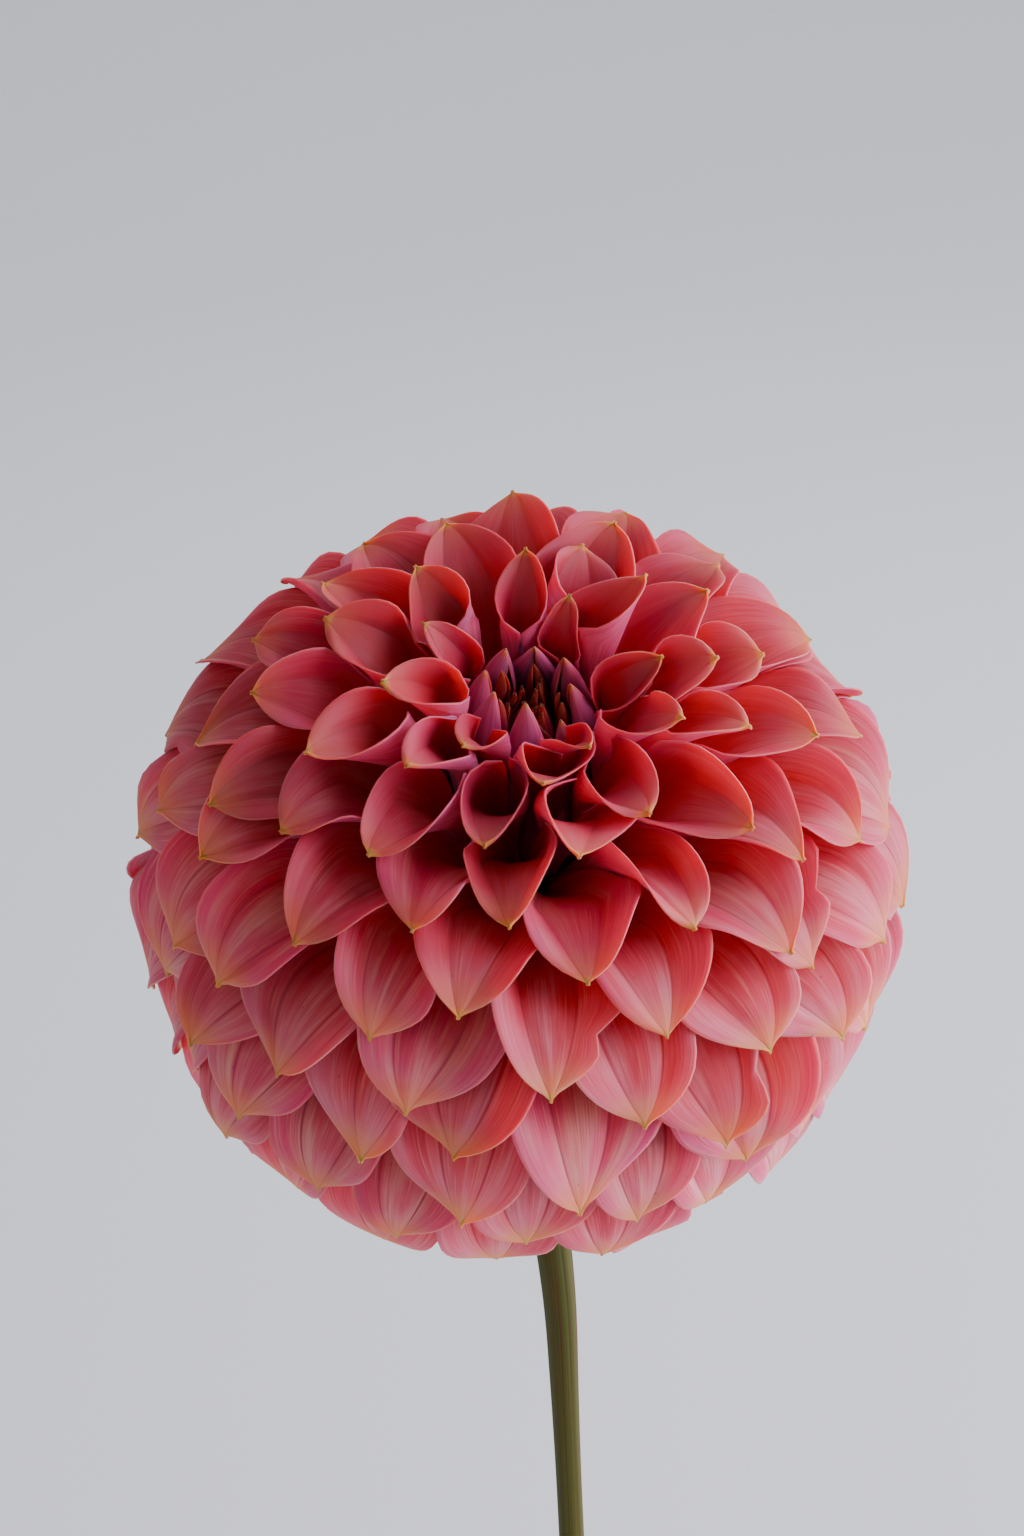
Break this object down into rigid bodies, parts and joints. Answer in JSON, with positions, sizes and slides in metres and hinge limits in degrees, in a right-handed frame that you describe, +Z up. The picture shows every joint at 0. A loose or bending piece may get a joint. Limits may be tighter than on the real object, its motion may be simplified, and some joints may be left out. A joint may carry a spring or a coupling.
{
  "type": "dahlia in a bud vase",
  "caption": "Cut ball-shaped dahlia with cupped, pointed florets round a closed bud, on a bare stem that leans in a plain bottle-shaped bud vase.",
  "frame": {"origin": "centre of the vase's foot, on the surface it stands on", "axes": "+Z up; the flower leans and faces towards -Y, +X is to its right seen from the front"},
  "size_m": [0.1102, 0.1305, 0.3566],
  "materials": {
    "glazed_stoneware": "satin",
    "stem_green": "satin",
    "bract_green": "matte",
    "bud_floret": "satin",
    "ray_floret": "satin"
  },
  "bodies": {
    "root": {"bud_vase": "glazed_stoneware", "stem": "stem_green", "outer_bract_1": "bract_green", "outer_bract_2": "bract_green", "outer_bract_3": "bract_green", "outer_bract_4": "bract_green", "outer_bract_5": "bract_green", "inner_bract_1": "bract_green", "inner_bract_2": "bract_green", "inner_bract_3": "bract_green", "inner_bract_4": "bract_green", "inner_bract_5": "bract_green", "inner_bract_6": "bract_green", "inner_bract_7": "bract_green", "inner_bract_8": "bract_green", "bud_florets_outer": "bud_floret", "bud_florets_inner": "bud_floret", "bud_core": "bud_floret", "ray_floret_ring_01": "ray_floret", "ray_floret_ring_02": "ray_floret", "ray_floret_ring_03": "ray_floret", "ray_floret_ring_04": "ray_floret", "ray_floret_ring_05": "ray_floret", "ray_floret_ring_06": "ray_floret", "ray_floret_ring_07": "ray_floret", "ray_floret_ring_08": "ray_floret", "ray_floret_ring_09": "ray_floret", "ray_floret_ring_10": "ray_floret", "ray_floret_ring_11": "ray_floret", "ray_floret_ring_12": "ray_floret", "ray_floret_ring_13": "ray_floret", "ray_floret_ring_14": "ray_floret", "ray_floret_ring_15": "ray_floret", "ray_floret_ring_16": "ray_floret", "ray_floret_ring_17": "ray_floret", "ray_floret_ring_18": "ray_floret", "ray_floret_ring_19": "ray_floret"}
  },
  "joints": []
}
